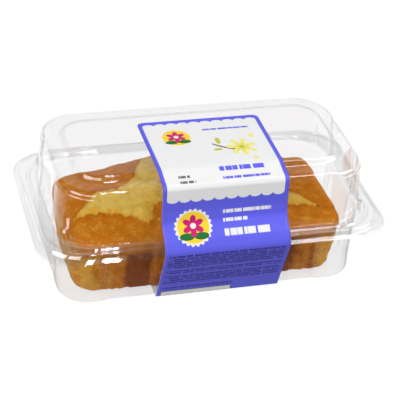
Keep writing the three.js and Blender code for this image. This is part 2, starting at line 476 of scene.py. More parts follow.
@dataclass(frozen=True)
class BakedLoaf:
    """Baked crust, from gold to dark brown, with pale yellow crumb in the burst."""

    gold: Colour = (0.76, 0.37, 0.045)
    orange: Colour = (0.64, 0.19, 0.005)
    brown: Colour = (0.29, 0.065, 0.004)
    crumb: Colour = (0.90, 0.62, 0.13)
    crumb_shade: Colour = (0.84, 0.45, 0.03)
    orange_over: Pair = (0.1, 0.5)
    brown_over: Pair = (0.6, 1.05)
    shade_over: Pair = (0.38, 0.8)
    mottle_scale: float = 0.2
    fine_scale: float = 1.1
    pore_scale: float = 2.2
    raggedness: float = 0.65
    mottle_share: float = 1.3
    fine_share: float = 1.1
    plain_crust: float = 0.45
    gilding: float = 0.35
    fine_in_crumb: float = 0.4
    pore_depth: float = 0.6
    relief_strength: float = 0.8
    roughness: Pair = (0.6, 0.36)
    specular: Pair = (0.1, 0.3)
    relief: float = 1.3

    def material(self) -> bpy.types.Material:
        """Colours from the piece's baked and crumb attributes, mottled by noise.

        Returns:
            The material.
        """
        bench = Bench("baked_crust")
        place = bench.place()
        mottle = bench.grain(place, self.mottle_scale, 5, self.raggedness)
        fine = bench.grain(place, self.fine_scale, 3, self.raggedness)
        pores = bench.grain(place, self.pore_scale, 3, self.raggedness)
        browned, crumb = bench.attribute("baked"), bench.attribute("crumb")
        baked = browned + (mottle - 0.5) * self.mottle_share + (fine - 0.5) * self.fine_share
        crust = bench.blend(baked.ramp(*self.orange_over), self.gold, self.orange)
        crust = bench.blend(baked.ramp(*self.brown_over), crust, self.brown)
        shade = mottle + (browned - self.plain_crust) * self.gilding + (fine - 0.5) * self.fine_in_crumb
        soft = bench.blend(shade.ramp(*self.shade_over), self.crumb, self.crumb_shade)
        height = pores * self.pore_depth + fine
        return bench.surface(bench.add("BsdfPrincipled", named={
            "Base Color": bench.blend(crumb, crust, soft),
            "Roughness": crumb.ramp(0, 1, *self.roughness),
            "Specular IOR Level": crumb.ramp(0, 1, *self.specular),
            "Normal": bench.bump(height, self.relief_strength, self.relief),
        }))


class Ink(Enum):
    """The band's inks, its bare card, and the white that is left between them."""

    VIOLET = (0.095, 0.095, 0.62)
    DEEP_VIOLET = (0.035, 0.035, 0.24)
    WHITE = (0.64, 0.64, 0.64)
    GREY = (0.13, 0.12, 0.13)
    CARD = (0.72, 0.71, 0.70)
    PETAL = (0.66, 0.62, 0.22)
    PETAL_HEART = (0.62, 0.55, 0.09)
    LEAF = (0.42, 0.42, 0.05)
    STEM = (0.11, 0.065, 0.04)
    YELLOW = (0.74, 0.50, 0.025)
    MAGENTA = (0.46, 0.006, 0.12)
    GREEN = (0.006, 0.12, 0.022)


@dataclass(frozen=True)
class Sheet:
    """Places on the band in millimetres, x across it and s along it."""

    bench: Bench
    x: Field
    s: Field


@dataclass(frozen=True)
class Shape:
    """A shape in one ink round a place on the band. Each kind gives its signed distance from its edge."""

    ink: Ink
    x: float
    s: float

    def cover(self, sheet: Sheet, soft: float = 0.12) -> Field:
        """1 where the distance is below 0 and 0 where it is above, with a narrow soft edge."""
        return self.distance(sheet.x - self.x, sheet.s - self.s).ramp(-soft, soft, 1, 0)


@dataclass(frozen=True)
class Oval(Shape):
    """An oval, with half its size each way."""

    half_x: float
    half_s: float

    def distance(self, dx: Field, ds: Field) -> Field:
        """The length of the scaled offset less 1, times the mean half size."""
        length = ((dx * (1 / self.half_x)) ** 2 + (ds * (1 / self.half_s)) ** 2) ** 0.5
        return (length - 1.0) * (0.5 * (self.half_x + self.half_s))


@dataclass(frozen=True)
class Bar(Shape):
    """A bar with round corners, with half its size each way."""

    half_x: float
    half_s: float
    corner: float

    def distance(self, dx: Field, ds: Field) -> Field:
        """The length of the offset past the straight part of each side, less the corner's radius.

        Args:
            dx: Offset across the band.
            ds: Offset along it.

        Returns:
            The distance.
        """
        halves = ((dx, self.half_x), (ds, self.half_s))
        past_x, past_s = ((offset.size() - (half - self.corner)).highest(0.0) for offset, half in halves)
        return (past_x ** 2 + past_s ** 2) ** 0.5 - self.corner


@dataclass(frozen=True)
class Flower(Shape):
    """A flower, with the radii between its petals and at their tips, and its turn in radians."""

    petals: int
    inner: float
    outer: float
    turn: float

    def distance(self, dx: Field, ds: Field) -> Field:
        """The radius less inner + (outer - inner) |cos(petals (angle + turn) / 2)|."""
        wave = ((ds.math("ARCTAN2", dx) + self.turn) * (self.petals / 2)).math("COSINE").size()
        return (dx ** 2 + ds ** 2) ** 0.5 - (wave * (self.outer - self.inner) + self.inner)


@dataclass(frozen=True)
class Stem(Shape):
    """A bent stem from a flower back to its root, by the height off a parabola."""

    root: float
    slope: float = 0.55
    bend: float = 0.02
    half_width: float = 0.75
    ends: Pair = (-16.7, -3.5)

    def distance(self, dx: Field, ds: Field) -> Field:
        """How far the place is off the parabola, less half the width, or past the nearer end.

        Args:
            dx: Offset across the band.
            ds: Offset along it.

        Returns:
            The distance.
        """
        left, right = self.ends
        run = dx - self.root
        off = (ds - run * self.slope + (run ** 2) * self.bend).size() - self.half_width
        return off.highest(dx * -1.0 + left).highest(dx - right)


@dataclass(frozen=True)
class Lines:
    """Rows of uneven bars in one ink.

    They lie from left to right across the band and from top to bottom along it, a pitch apart, and
    a millimetre of a row holds about as many bars and gaps as grain says.
    """

    ink: Ink
    left: float
    right: float
    top: float
    bottom: float
    pitch: float
    grain: float
    stripe: Pair = (0.26, 0.38)
    inked_over: Pair = (0.38, 0.46)
    row_offset: Pair = (57.3, 31.7)

    def cover(self, sheet: Sheet) -> Field:
        """Stripes by the part of a row that a place is in, cut up by noise that is its own in each row.

        Args:
            sheet: The places on the band.

        Returns:
            1 on the bars and 0 off them.
        """
        place = (sheet.s - self.top) * (1 / self.pitch)
        line = (place.math("FRACT") - 0.5).size().ramp(*self.stripe, 1, 0)
        offsets = (place.math("FLOOR") * step for step in self.row_offset)
        there = sheet.bench.vector(sheet.x * self.grain, *offsets)
        inked = line * sheet.bench.grain(there, 1.0, 1).ramp(*self.inked_over)
        inked = inked * sheet.x.between(self.left + 0.1, self.right - 0.1)
        return inked * sheet.s.between(self.top, self.bottom)


def badge(x: float, s: float, r: float) -> tuple[Shape, ...]:
    """A round badge: a ruffled white edge, a yellow disc, and a flower over two leaves.

    Args:
        x: Middle across the band.
        s: Middle along it.
        r: Radius.

    Returns:
        Its shapes, from the lowest to the highest.
    """
    leaves = (Oval(Ink.GREEN, x + side * 0.4 * r, s + 0.5 * r, 0.42 * r, 0.2 * r) for side in (-1, 1))
    high = s - 0.08 * r
    return (
        Flower(Ink.WHITE, x, s, 22, 0.93 * r, 1.06 * r, 0),
        Oval(Ink.YELLOW, x, s, 0.88 * r, 0.88 * r),
        *leaves,
        Flower(Ink.MAGENTA, x, high, 6, 0.3 * r, 0.62 * r, 0.5),
        Oval(Ink.WHITE, x, high, 0.16 * r, 0.16 * r),
    )


@dataclass(frozen=True)
class PrintedPaper:
    """Satin coated paper in violet, with a white scalloped panel, badges and lines that say nothing."""

    specular: float = 0.25
    roughness: Pair = (0.36, 0.46)
    sides: Pair = (-32.5, 38.4)
    panel_ends: Pair = (3.4, 72.4)
    scallops: int = 10
    scallop_depth: float = 2.3
    printed: tuple[Shape | Lines, ...] = (
        Stem(Ink.STEM, 21.0, 33.0, -9.0),
        Oval(Ink.LEAF, 8.5, 24.5, 1.5, 3.6),
        Oval(Ink.LEAF, 6.2, 34.0, 2.8, 1.3),
        Flower(Ink.PETAL, 21.0, 33.0, 7, 3.2, 9.6, 0.3),
        Flower(Ink.PETAL_HEART, 21.0, 33.0, 7, 1.6, 5.2, 0.3),
        Oval(Ink.LEAF, 21.0, 33.0, 1.7, 1.9),
        Oval(Ink.PETAL, 30.0, 21.5, 1.9, 2.2),
        Oval(Ink.PETAL, 26.0, 46.0, 1.6, 1.9),
        *badge(-15.2, 17.8, 9.6),
        *badge(-16.8, 90.8, 10.9),
        Bar(Ink.GREY, -10.9, 169.3, 21.9, 26.7, 0.6),
        Bar(Ink.WHITE, -10.9, 169.3, 21.4, 26.2, 0.4),
        Lines(Ink.VIOLET, 2.1, 31.3, 9.7, 12.5, 2.8, 0.9),
        Lines(Ink.VIOLET, 1.2, 28.6, 50.6, 56.2, 5.6, 0.5),
        Lines(Ink.VIOLET, 1.6, 30.4, 59.3, 62.5, 3.2, 0.8),
        Lines(Ink.GREY, -24.4, -17.2, 56.0, 59.2, 3.2, 0.8),
        Lines(Ink.GREY, -24.3, -14.6, 60.5, 63.7, 3.2, 0.8),
        Lines(Ink.WHITE, 1.4, 31.0, 81.0, 84.4, 3.4, 0.8),
        Lines(Ink.WHITE, 1.4, 16.4, 86.4, 89.8, 3.4, 0.8),
        Lines(Ink.WHITE, 1.4, 29.2, 92.2, 98.8, 6.6, 0.5),
        Lines(Ink.DEEP_VIOLET, -32.6, 38.4, 106.4, 118.6, 2.1, 0.7),
        Lines(Ink.DEEP_VIOLET, -32.6, 38.4, 121.0, 124.6, 2.1, 0.7),
        Lines(Ink.DEEP_VIOLET, -32.6, 38.4, 126.4, 135.0, 2.1, 0.7),
        Lines(Ink.DEEP_VIOLET, -32.6, 11.0, 138.2, 141.2, 2.1, 0.7),
        Lines(Ink.GREY, -30.5, 8.5, 146, 193, 3.2, 0.5),
    )

    def material(self) -> bpy.types.Material:
        """Print worked out from the place across and along the band.

        Returns:
            The material.
        """
        bench = Bench("printed_paper")
        sheet = Sheet(bench, bench.attribute("across"), bench.attribute("along"))
        colour = bench.blend(self.panel(sheet), Ink.VIOLET.value, Ink.WHITE.value)
        for shape in self.printed:
            colour = bench.blend(shape.cover(sheet), colour, shape.ink.value)
        colour = bench.blend(bench.attribute("printed"), Ink.CARD.value, colour)
        fibres = bench.grain(bench.place(), 1.1, 3, 0.6)
        return bench.surface(bench.add("BsdfPrincipled", named={
            "Base Color": colour,
            "Roughness": fibres.ramp(0.2, 0.8, *self.roughness),
            "Specular IOR Level": self.specular,
            "Normal": bench.bump(fibres, 0.08, 0.2),
        }))

    def panel(self, sheet: Sheet) -> Field:
        """The white panel, with a row of round scallops at each end.

        Args:
            sheet: The places on the band.

        Returns:
            1 on the panel and 0 off it.
        """
        left, right = self.sides
        pitch = (right - left) / self.scallops
        cell = (((sheet.x - left) * (1 / pitch)).math("FRACT") - 0.5) * pitch
        cover = sheet.s.between(*self.panel_ends)
        for end in self.panel_ends:
            scallop = Oval(Ink.WHITE, 0.0, end, 0.5 * pitch, self.scallop_depth)
            cover = cover.highest(scallop.cover(replace(sheet, x=cell)))
        return cover * sheet.x.between(left, right)


# The clear pack

SHEET = 0.6
FIT_GAP = 0.3
RIM_HALF_LENGTH = 107.0
RIM_HALF_DEPTH = 59.8
WALL_HALF_LENGTH = 94.4
WALL_HALF_DEPTH = 47.9
WALL_FOOT_Z = 43.1
LEDGE_Z = 76.5
PLATEAU_Z = 79.7
PANEL_LIFT = 1.0
FLOOR_Z = PANEL_LIFT + SHEET


@dataclass
class Row:
    """One level of a shell: a rounded rectangle with its height and what shapes its edge."""

    a: float
    b: float
    r: float
    z: float
    end_groove: float = 0.0
    side_groove: float = 0.0
    lug: float = 0.0
    foot: float = 0.0
    tab: float = 0.0
    hinge: float = 0.0
    rise: float = 0.0
    cut: float = 0.35

    def values(self) -> list[float]:
        """The row as numbers, with its mean size and height first and without its cut."""
        a, b, r, z, *shape, _ = vars(self).values()
        return [(a + b) / 2, z, a, b, r, *shape]


@dataclass
class Outline:
    """Stations round a shell's rounded rectangle, the same for every row."""

    side_groove_x: float = 65.0
    end_groove_y: float = 19.0
    groove_half_width: float = 2.4
    groove_margin: float = 1.0
    lug_degrees: tuple[float, float, float, float] = (31, 34, 42, 45)
    tab_degrees: Place = (34, 42, 45)
    groove_steps: int = 12
    straight_steps: int = 4

    def grooved(self, groove: float, end: float) -> tuple[np.ndarray, np.ndarray, np.ndarray]:
        """Stations along half a straight side with one groove, drawn together where the side is short.

        Args:
            groove: Where the middle of the groove is.
            end: Where the side meets the corner.

        Returns:
            The stations, the depth of the groove at each from 0 to 1, and how far each is past it.
        """
        half = self.groove_half_width
        squeeze = min(1, end / (groove + half + self.groove_margin))
        inside = groove + np.linspace(-1, 1, self.groove_steps + 1) * half
        lead = np.linspace(0, 1, self.straight_steps, endpoint=False)
        place = np.concatenate((lead * inside[0], inside)) * squeeze
        place = np.concatenate((place, np.linspace(place[-1], end, 3)[1:-1]))
        share = (place / squeeze - groove) / half
        return place, 0.5 + 0.5 * np.cos(np.pi * np.clip(share, -1, 1)), smoothstep(-1, 1, share)

    def quarter(self, row: np.ndarray) -> tuple[np.ndarray, np.ndarray, np.ndarray, np.ndarray]:
        """One quarter of a row, from the middle of the right end to the middle of the back.

        Args:
            row: The row's numbers, as Row.values gives them.

        Returns:
            X and Y of the stations, how far each is on the corner lobe, and its angle in degrees.
        """
        a, b, r, end_groove, side_groove, lug = row[2:8]
        end_y, end_dip, end_lobe = self.grooved(self.end_groove_y, b - r)
        side_x, side_dip, side_lobe = (v[::-1] for v in self.grooved(self.side_groove_x, a - r))
        degrees = np.unique(np.concatenate((np.arange(0, 91, 3.75), np.arange(30, 46.5, 0.75))))
        low, face_low, face_high, high = self.lug_degrees
        bump = smoothstep(low, face_low, degrees) * (1 - smoothstep(face_high, high, degrees))
        radius = r + lug * bump
        angle = np.radians(degrees)
        x = np.concatenate((a - end_groove * end_dip, a - r + radius * np.cos(angle), side_x))
        y = np.concatenate((end_y, b - r + radius * np.sin(angle), b - side_groove * side_dip))
        lobe = np.concatenate((end_lobe, np.ones(len(degrees)), side_lobe))
        turn = np.concatenate((np.full(len(end_y), -90.0), degrees, np.full(len(side_x), 180.0)))
        return x, y, lobe, turn

    def ring(self, row: np.ndarray) -> np.ndarray:
        """The whole outline of a row, anticlockwise seen from above.

        foot lowers the corner lobes, tab pushes out the front right corner, and hinge and rise
        move the middle of the back.

        Args:
            row: The row's numbers.

        Returns:
            One row of X, Y and Z for each station.
        """
        foot, tab, hinge, rise = row[8:12]
        quarter = self.quarter(row)
        ahead = slice(None, -1)
        back = slice(None, 0, -1)
        parts = []
        for sx, sy, order in ((1, 1, ahead), (-1, 1, back), (-1, -1, ahead), (1, -1, back)):
            px, py, on_lobe, degrees = (values[order] for values in quarter)
            on_tab = np.interp(degrees, self.tab_degrees, (0, 1, 0)) * (sx > 0 and sy < 0)
            on_hinge = (sy > 0) * (degrees > 90) * (1 - on_lobe)
            parts.append(np.stack((
                sx * (px + on_tab * tab),
                sy * (py + on_hinge * hinge),
                row[1] - foot * on_lobe + on_hinge * rise,
            ), axis=-1))
        return np.concatenate(parts)


@dataclass(frozen=True)
class Contour:
    """What one side of the pack has of its own.

    shoulder is how much of the lid's shoulder is rounded, and swell how far out that shoulder
    stands. edge_z is where the rim's fall ends, lift how much higher the flange lies, and the two
    corners are radii of the tray's flange and the lid's.
    """

    shoulder: float
    swell: float
    edge_z: float
    lift: float
    tray_corner: float
    lid_corner: float


class Side(Enum):
    """The two sides that each shell is blended from."""

    FRONT = Contour(0.98, 0.0, 40.9, 0.0, 19.0, 21.0)
    BACK = Contour(0.5, 1.4, 43.1, 2.4, 25.0, 25.0)


@dataclass
class ClearPack:
    """The clear tray and lid, two thermoformed shells that meet in nested rims."""

    outline: Outline = field(default_factory=Outline)
    groove: float = 1.6
    lid_side_groove: float = 0.4
    rim_corner: float = 24.0
    lug_stand: float = 2.6
    lug_top_z: float = 51.0
    tab_stand: float = 2.8
    hinge_stand: float = 0.7
    hinge_rise: float = 0.5
    edge_turn: float = 0.3
    corner_ease: float = 0.3
    blend_over: Pair = (0.0, 45.0)
    curve_steps: int = 5

    def rim_rows(self, shape: Contour) -> list[Row]:
        """The beaded rim, as the distance out from the foot of the lid's wall and the height.

        Args:
            shape: The side that the rows are for.

        Returns:
            The rows.
        """
        a, b = WALL_HALF_LENGTH, WALL_HALF_DEPTH
        levels = (
            (3.2, WALL_FOOT_Z, 0.3),
            (4.4, 42.2, 0.4),
            (5.4, 43.3, 0.4),
            (8.6, 43.3, 0.3),
            (9.8, shape.edge_z, 0.3),
        )
        return [Row(a + out, b + out, self.rim_corner, z, cut=cut) for out, z, cut in levels]

    def lid_rows(self, shape: Contour) -> list[Row]:
        """The lid from its plateau over the ledge and down the walls to the rim's edge.

        Args:
            shape: The side that the rows are for.

        Returns:
            The rows.
        """
        groove, side = self.groove, self.lid_side_groove
        foot_a, foot_b, stand = WALL_HALF_LENGTH, WALL_HALF_DEPTH, self.lug_stand
        edge_a, edge_b, corner = RIM_HALF_LENGTH, RIM_HALF_DEPTH, shape.lid_corner
        out, lift = shape.swell, shape.lift
        return [
            Row(40, 4, 2, PLATEAU_Z, cut=0),
            Row(76, 28, 11, PLATEAU_Z, cut=0),
            Row(79.8, 31.9, 14.5, PLATEAU_Z, cut=0.4),
            Row(82, 34, 16, LEDGE_Z, cut=0.45),
            Row(86.6, 39.4, 18, LEDGE_Z, cut=0),
            Row(91.5, 44.8 + out, 21.2, LEDGE_Z - 0.2, 0.4 * groove, 0.4 * side, cut=shape.shoulder),
            Row(92.3, 45.5 + 0.8 * out, 22, 72.9, groove, side, cut=0),
            Row(92.7, 45.9 + 0.7 * out, 22, 72.4, groove, side, cut=0.4),
            Row(93.9, 47.3, 22.8, self.lug_top_z + 0.4, groove, side, cut=0),
            Row(93.95, 47.35, 22.8, self.lug_top_z, groove, side, lug=stand, cut=0),
            Row(foot_a, foot_b, 23, WALL_FOOT_Z, groove, side, lug=stand, cut=0.25),
            *self.rim_rows(shape),
            Row(edge_a - 0.6, edge_b - 1.4, corner, 40.8 + lift, tab=self.tab_stand),
            Row(edge_a, edge_b - 0.8, corner, 40.3 + lift, tab=self.tab_stand),
        ]

    def tray_rows(self, shape: Contour) -> list[Row]:
        """The tray's upper side, from its floor between four feet to the rim under the lid's.

        Args:
            shape: The side that the rows are for.

        Returns:
            The rows.
        """
        shelf = WALL_FOOT_Z - SHEET - FIT_GAP
        rim = self.underside(self.rim_rows(shape), SHEET + FIT_GAP)
        rim[-1].z -= self.corner_ease
        groove, foot = self.groove, PANEL_LIFT
        edge_a, edge_b, corner = RIM_HALF_LENGTH, RIM_HALF_DEPTH, shape.tray_corner
        turn, lift = self.edge_turn, shape.lift
        return [
            Row(40, 4, 2, FLOOR_Z, cut=0),
            Row(76, 30, 8, FLOOR_Z, cut=0),
            Row(78, 32, 9, FLOOR_Z, cut=0.4),
            Row(81, 35, 11, FLOOR_Z, foot=foot, cut=0.4),
            Row(90, 44.8, 16, FLOOR_Z, foot=foot, cut=0.45),
            Row(91.1, 45.5, 17, FLOOR_Z + 1.1, 0.3 * groove, 0.3 * groove, foot=foot, cut=0.45),
            Row(91.4, 45.7, 19, FLOOR_Z + 7, groove, groove, cut=0.3),
            Row(92.8, 46.8, 22, shelf - 4, groove, groove, cut=0.3),
            Row(93.1, 47.1, 22.4, shelf, cut=0.3),
            *rim,
            Row(edge_a - turn, edge_b - turn, corner, 38.9 + lift, cut=0),
            Row(edge_a, edge_b, corner, 38.7 + lift, hinge=self.hinge_stand, rise=self.hinge_rise),
        ]

    def underside(self, rows: list[Row], distance: float) -> list[Row]:
        """The same rows moved square to the profile by a distance, to the underside of the sheet.

        Args:
            rows: Rows of the upper side.
            distance: How far they move.

        Returns:
            The moved rows. A corner moves along its bisector, by the distance over the bisector's cosine.
        """
        flat = np.array([row.values()[:2] for row in rows])
        steps = np.diff(flat, axis=0)
        steps = steps / np.hypot(*steps.T)[:, None]
        first = np.vstack((steps[:1], steps))
        second = np.vstack((steps, steps[-1:]))
        turned = first + second
        bisector = np.stack((turned[:, 1], -turned[:, 0]), axis=-1)
        bisector = bisector / np.hypot(*bisector.T)[:, None]
        cosine = bisector[:, 0] * first[:, 1] - bisector[:, 1] * first[:, 0]
        moves = bisector * (distance / np.maximum(0.5, cosine))[:, None]
        moved = []
        for row, (out, up) in zip(rows, moves):
            moved.append(replace(row, a=row.a + out, b=row.b + out, r=row.r + out, z=row.z + up))
        return moved

    def rings(self, middle_z: float, rows: list[Row]) -> np.ndarray:
        """Rings of points down the upper side through the rows and back one sheet below.

        Args:
            middle_z: Height of the upper side's middle.
            rows: Rows from the middle to the rim.

        Returns:
            Points by ring, station and axis.
        """
        middle = Row(0, 0, 0, middle_z)
        lower = self.underside([middle, *rows], SHEET)[1:]
        cuts = np.array([row.cut for row in rows])
        upper_path = rounded_path(np.array([row.values() for row in rows]), cuts, self.curve_steps)
        lower_path = rounded_path(np.array([row.values() for row in lower]), cuts, self.curve_steps)
        return np.stack([self.outline.ring(row) for row in (*upper_path, *lower_path[::-1])])

    def shell(self, name: str, middle_z: float, rows: Callable[[Contour], list[Row]]) -> bpy.types.Object:
        """A closed sheet that goes from the front's rows to the back's over the middle of its ends.

        Args:
            name: Name of the piece.
            middle_z: Height of the upper side's middle.
            rows: Gives one side's rows, from the middle to the rim.

        Returns:
            The piece.
        """
        ahead, behind = (self.rings(middle_z, rows(side.value)) for side in Side)
        share = smoothstep(*self.blend_over, ahead[..., 1:2])
        rings = ahead + (behind - ahead) * share
        total, count = rings.shape[:2]
        points = np.vstack((rings.reshape(-1, 3), [[0, 0, middle_z], [0, 0, middle_z - SHEET]]))
        poles = (total * count, total * count + 1)
        caps = np.vstack((
            cap_faces(0, count, poles[0], True),
            cap_faces((total - 1) * count, count, poles[1], False),
        ))
        return make_piece(name, points, ring_faces(total, count), caps)

    def build(self, finish: ClearSheet) -> None:
        """Makes the tray and the lid in one finish.

        Args:
            finish: The clear plastic.
        """
        material = finish.material()
        settle(self.shell("clear_tray", FLOOR_Z, self.tray_rows), "tray", material)
        settle(self.shell("clear_lid", PLATEAU_Z, self.lid_rows), "lid", material)


@dataclass
class PaperBand:
    """The printed strip over the front of the pack, from the plateau to under the tray."""

    thickness: float = 0.4
    left_x: float = -35.0
    width: float = 76.0
    corner: float = 3.5
    bend: float = 0.35
    path: tuple[Pair, ...] = (
        (20.8, 80), (-31.8, 80), (-38.6, 78.2), (-44.6, 77.2), (-46, 75.2), (-46.9, 61), (-48.6, 54.2),
        (-52, 50.4), (-56.6, 46.4), (-59.4, 42.4), (-60.1, 40.6), (-60.1, 37.8), (-53.2, 19.5),
        (-47, 1.4), (-46.2, 0.7), (25, 0.7),
    )
    print_start: float = -1.8
    columns: int = 40
    curve_steps: int = 4
    longest_step: float = 3.0

    def centre_line(self) -> np.ndarray:
        """The path with rounded bends, and close steps where the sheet's corners turn.

        Returns:
            Y and Z of the points down it.
        """
        corners = np.array(self.path, float)
        path = rounded_path(corners, np.full(len(corners), self.bend), self.curve_steps)
        distance = np.concatenate(([0], np.cumsum(np.hypot(*np.diff(path, axis=0).T))))
        filling = np.arange(0, distance[-1], self.longest_step)
        corner_steps = self.corner * (1 - np.cos(np.linspace(0, math.pi / 2, 7)))
        wanted = np.unique(np.round(np.concatenate((distance, filling, corner_steps)), 3))
        return np.stack([np.interp(wanted, distance, axis) for axis in path.T], axis=-1)

    def build(self, finish: PrintedPaper) -> None:
        """Makes the strip as a closed sheet and dresses it.

        Its outside is its path moved out by its thickness. Near its start it is narrower by
        corner - sqrt(corner^2 - near^2), with near the way that is left of its round corners.

        Args:
            finish: Its print and gloss.
        """
        path = self.centre_line()
        steps = np.diff(path, axis=0)
        lengths = np.hypot(*steps.T)
        along = np.concatenate(([0], np.cumsum(lengths)))
        tangent = steps / lengths[:, None]
        mean = np.vstack((tangent[:1], tangent[:-1] + tangent[1:], tangent[-1:]))
        mean = mean / np.hypot(*mean.T)[:, None]
        outside = path + self.thickness * np.stack((mean[:, 1], -mean[:, 0]), axis=-1)
        half = self.width / 2
        near = np.clip(self.corner - along, 0, self.corner)
        reach = half - (self.corner - np.sqrt(self.corner ** 2 - near ** 2))
        x = self.left_x + half + np.linspace(-1, 1, self.columns + 1) * reach[:, None]
        rows, count = x.shape
        faces = (outside, path)
        points = [np.column_stack((x.ravel(), np.repeat(face, count, axis=0))) for face in faces]
        front, back = np.arange(2 * rows * count).reshape(2, rows, count)
        loop = np.concatenate((front, back[:, ::-1]), axis=1).ravel()
        quads = [loop[ring_faces(rows, 2 * count)]]
        for first, second in ((back[0], front[0]), (front[-1], back[-1])):
            quads.append(np.stack((first[:-1], second[:-1], second[1:], first[1:]), axis=-1))
        attributes = {
            "across": np.tile(x.ravel(), 2),
            "along": np.tile(np.repeat(along + self.print_start, count), 2),
            "printed": np.repeat((1.0, 0.0), rows * count),
        }
        no_triangles = np.zeros((0, 3), int)
        piece = make_piece("paper_band", np.vstack(points), np.vstack(quads), no_triangles, attributes)
        settle(piece, "band", finish.material())


@dataclass
class Footprint:
    """A rounded rectangle round the cake's middle line, for a grid that fills it."""

    middle: float
    half_length: float
    half_depth: float
    corner: float

    def place(self, u: np.ndarray, v: np.ndarray) -> tuple[np.ndarray, np.ndarray]:
        """Where grid places lie. v runs from -2 to 2, and its outer parts turn round the corners.

        Args:
            u: Place along X, from -1 to 1.
            v: Place along Y: from -1 to 1 over the straight part, then a quarter turn each side.

        Returns:
            X and Y.
        """
        turn = np.clip(np.abs(v) - 1, 0, 1) * math.pi / 2
        straight = self.half_depth - self.corner
        y = np.sign(v) * (straight * np.minimum(np.abs(v), 1) + self.corner * np.sin(turn))
        reach = self.half_length - self.corner + self.corner * np.cos(turn)
        return self.middle + u * reach, y

    def depth(self, x: np.ndarray, y: np.ndarray) -> np.ndarray:
        """Distance in from the edge.

        Args:
            x: Place along the loaf.
            y: Place across it.

        Returns:
            The distance at each place.
        """
        across = np.abs(x - self.middle) - (self.half_length - self.corner)
        along = np.abs(y) - (self.half_depth - self.corner)
        straight = self.corner - np.maximum(across, along)
        return np.where((across > 0) & (along > 0), self.corner - np.hypot(across, along), straight)


